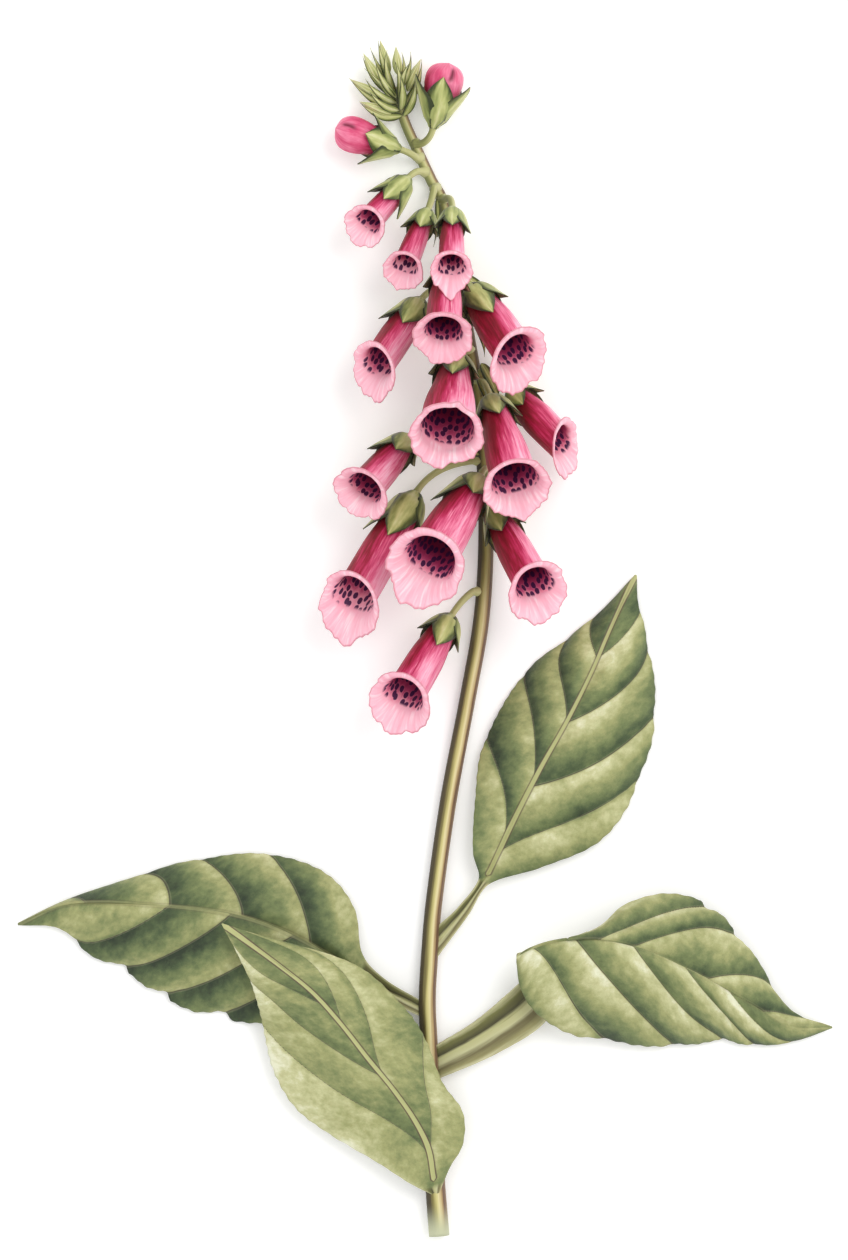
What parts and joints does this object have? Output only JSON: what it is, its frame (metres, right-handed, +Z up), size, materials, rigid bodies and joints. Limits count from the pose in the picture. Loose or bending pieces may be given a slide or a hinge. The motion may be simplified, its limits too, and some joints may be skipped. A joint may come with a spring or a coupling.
{
  "type": "cut foxglove flower spike",
  "caption": "Cut common foxglove spike lying flat: tubular spotted pink flowers with green calyxes, buds at the tip, and broad veined leaves on a curved stem.",
  "frame": {"origin": "on the surface the spike lies on, under the middle of its bounding box", "axes": "+Y along the spike from the cut end to the tip, +Z up from the surface, the way the flowers' mouths look, and +X to the right"},
  "size_m": [0.2932, 0.4302, 0.0556],
  "materials": {
    "stem": null,
    "stalk": "yellow green, soft",
    "calyx": "pale green with darker edges, matt",
    "petal": "crimson pink, satin, with pale rims and dark spots inside",
    "pink_bud": "pink, satin",
    "green_bud": "pale green, matt",
    "leaf": "olive green with pale veins, matt"
  },
  "bodies": {
    "root": {"stem": "stem", "leaf_upper_right": "leaf", "leaf_left": "leaf", "leaf_front": "leaf", "leaf_lower_right": "leaf", "petiole_lower_right": "leaf", "pedicel_01": "stalk", "calyx_01": "calyx", "bell_01": "petal", "pedicel_02": "stalk", "calyx_02": "calyx", "bell_02": "petal", "pedicel_03": "stalk", "calyx_03": "calyx", "bell_03": "petal", "pedicel_04": "stalk", "calyx_04": "calyx", "bell_04": "petal", "pedicel_05": "stalk", "calyx_05": "calyx", "bell_05": "petal", "pedicel_06": "stalk", "calyx_06": "calyx", "bell_06": "petal", "pedicel_07": "stalk", "calyx_07": "calyx", "bell_07": "petal", "pedicel_08": "stalk", "calyx_08": "calyx", "bell_08": "petal", "pedicel_09": "stalk", "calyx_09": "calyx", "bell_09": "petal", "pedicel_10": "stalk", "calyx_10": "calyx", "bell_10": "petal", "pedicel_11": "stalk", "calyx_11": "calyx", "bell_11": "petal", "pedicel_12": "stalk", "calyx_12": "calyx", "bell_12": "petal", "pedicel_13": "stalk", "calyx_13": "calyx", "bell_13": "petal", "pedicel_14": "stalk", "calyx_14": "calyx", "bell_14": "petal", "pink_bud_left_pedicel": "stalk", "pink_bud_left_calyx": "calyx", "pink_bud_left": "pink_bud", "pink_bud_right_pedicel": "stalk", "pink_bud_right_calyx": "calyx", "pink_bud_right": "pink_bud", "tip_bud_1": "green_bud", "tip_bud_2": "green_bud", "tip_bud_3": "green_bud", "tip_bud_4": "green_bud", "tip_bud_5": "green_bud", "tip_bud_6": "green_bud"}
  },
  "joints": []
}
